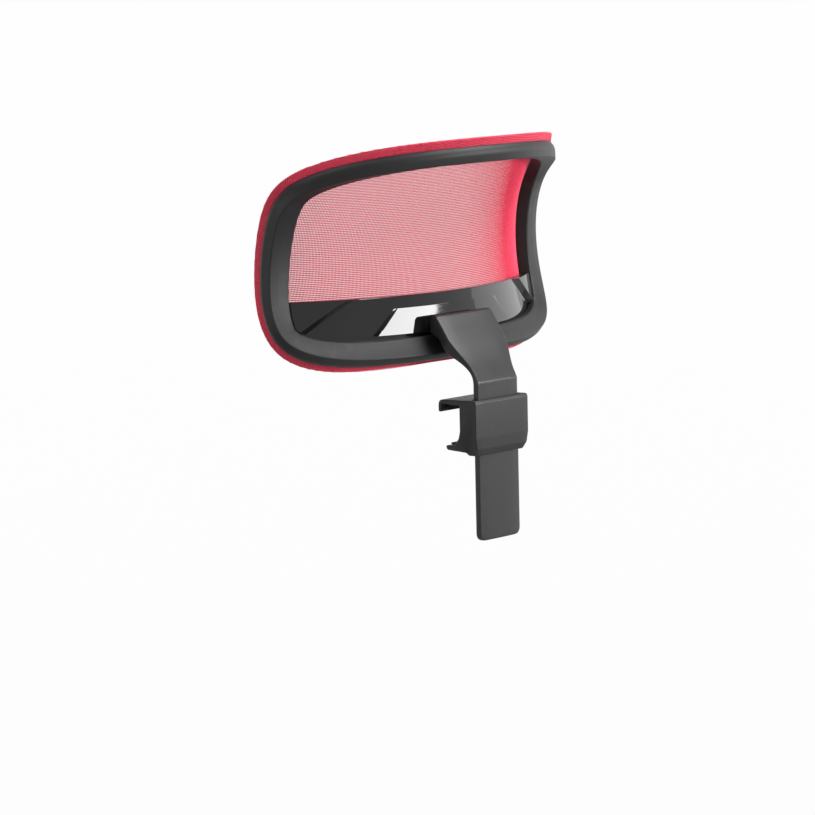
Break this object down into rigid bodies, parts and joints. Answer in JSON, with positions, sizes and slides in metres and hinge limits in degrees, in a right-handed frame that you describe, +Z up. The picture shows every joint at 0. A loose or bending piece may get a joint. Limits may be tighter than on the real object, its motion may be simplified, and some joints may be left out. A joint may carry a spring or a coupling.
{
  "type": "chair headrest attachment",
  "caption": "Add-on office chair headrest: red mesh on a saddle-shaped ring, tilting on a curved arm that slides in a clamp for the backrest's top rail.",
  "frame": {"origin": "centre of the lower face of the rubber pad with which the clamp hangs on the backrest's top rail", "axes": "+Z up, out of the rail; +X across the headrest; +Y to the rear, so a sitter faces -Y"},
  "size_m": [0.3329, 0.1252, 0.3202],
  "materials": {
    "black_plastic": "fine satin texture",
    "gloss_black": "polished",
    "white_plastic": "natural acetal",
    "black_rubber": "matt",
    "steel": "zinc plated",
    "brass": "turned",
    "red_mesh": "fine open weave"
  },
  "bodies": {
    "clamp": {"clamp_housing": "black_plastic", "rail_top_pad": "black_rubber", "rail_nose_pad": "black_rubber", "rail_lip_pad": "black_rubber", "pressure_plate": "steel", "brake_spring": "steel", "pressure_screw_left": "steel", "pressure_screw_right": "steel", "screw_insert_left": "brass", "screw_insert_right": "brass", "glide_liner_left": "white_plastic", "glide_liner_right": "white_plastic"},
    "arm": {"arm_shell": "black_plastic", "arm_core": "steel", "arm_front_cover": "black_plastic", "tongue_stop": "black_plastic", "hinge_pin": "steel", "hinge_nut": "steel", "cover_screw_1": "steel", "cover_screw_2": "steel", "cover_screw_3": "steel", "cover_screw_4": "steel", "stop_screw": "steel"},
    "headrest": {"pivot_bracket": "steel", "friction_washer_left": "white_plastic", "friction_washer_right": "white_plastic", "bracket_screw_1": "steel", "bracket_screw_2": "steel", "bracket_screw_3": "steel", "bracket_screw_4": "steel", "foot_panel": "gloss_black", "rear_frame": "black_plastic", "carrier_frame": "black_plastic", "mesh_retainer": "black_rubber", "mesh_cover": "red_mesh", "frame_screw_1": "steel", "frame_screw_2": "steel", "frame_screw_3": "steel", "frame_screw_4": "steel", "frame_screw_5": "steel", "frame_screw_6": "steel", "frame_screw_7": "steel", "frame_screw_8": "steel", "panel_screw_1": "steel", "panel_screw_2": "steel", "panel_screw_3": "steel", "panel_screw_4": "steel"}
  },
  "joints": [
    {"name": "height_slide", "type": "slide", "parent": "clamp", "child": "arm", "axis": [0, 0, 1], "range_m": [-0.012, 0.052]},
    {"name": "headrest_tilt", "type": "hinge", "parent": "arm", "child": "headrest", "pos_m": [0, -0.0154, 0.064], "axis": [1, 0, 0], "range_deg": [-15, 15]}
  ]
}
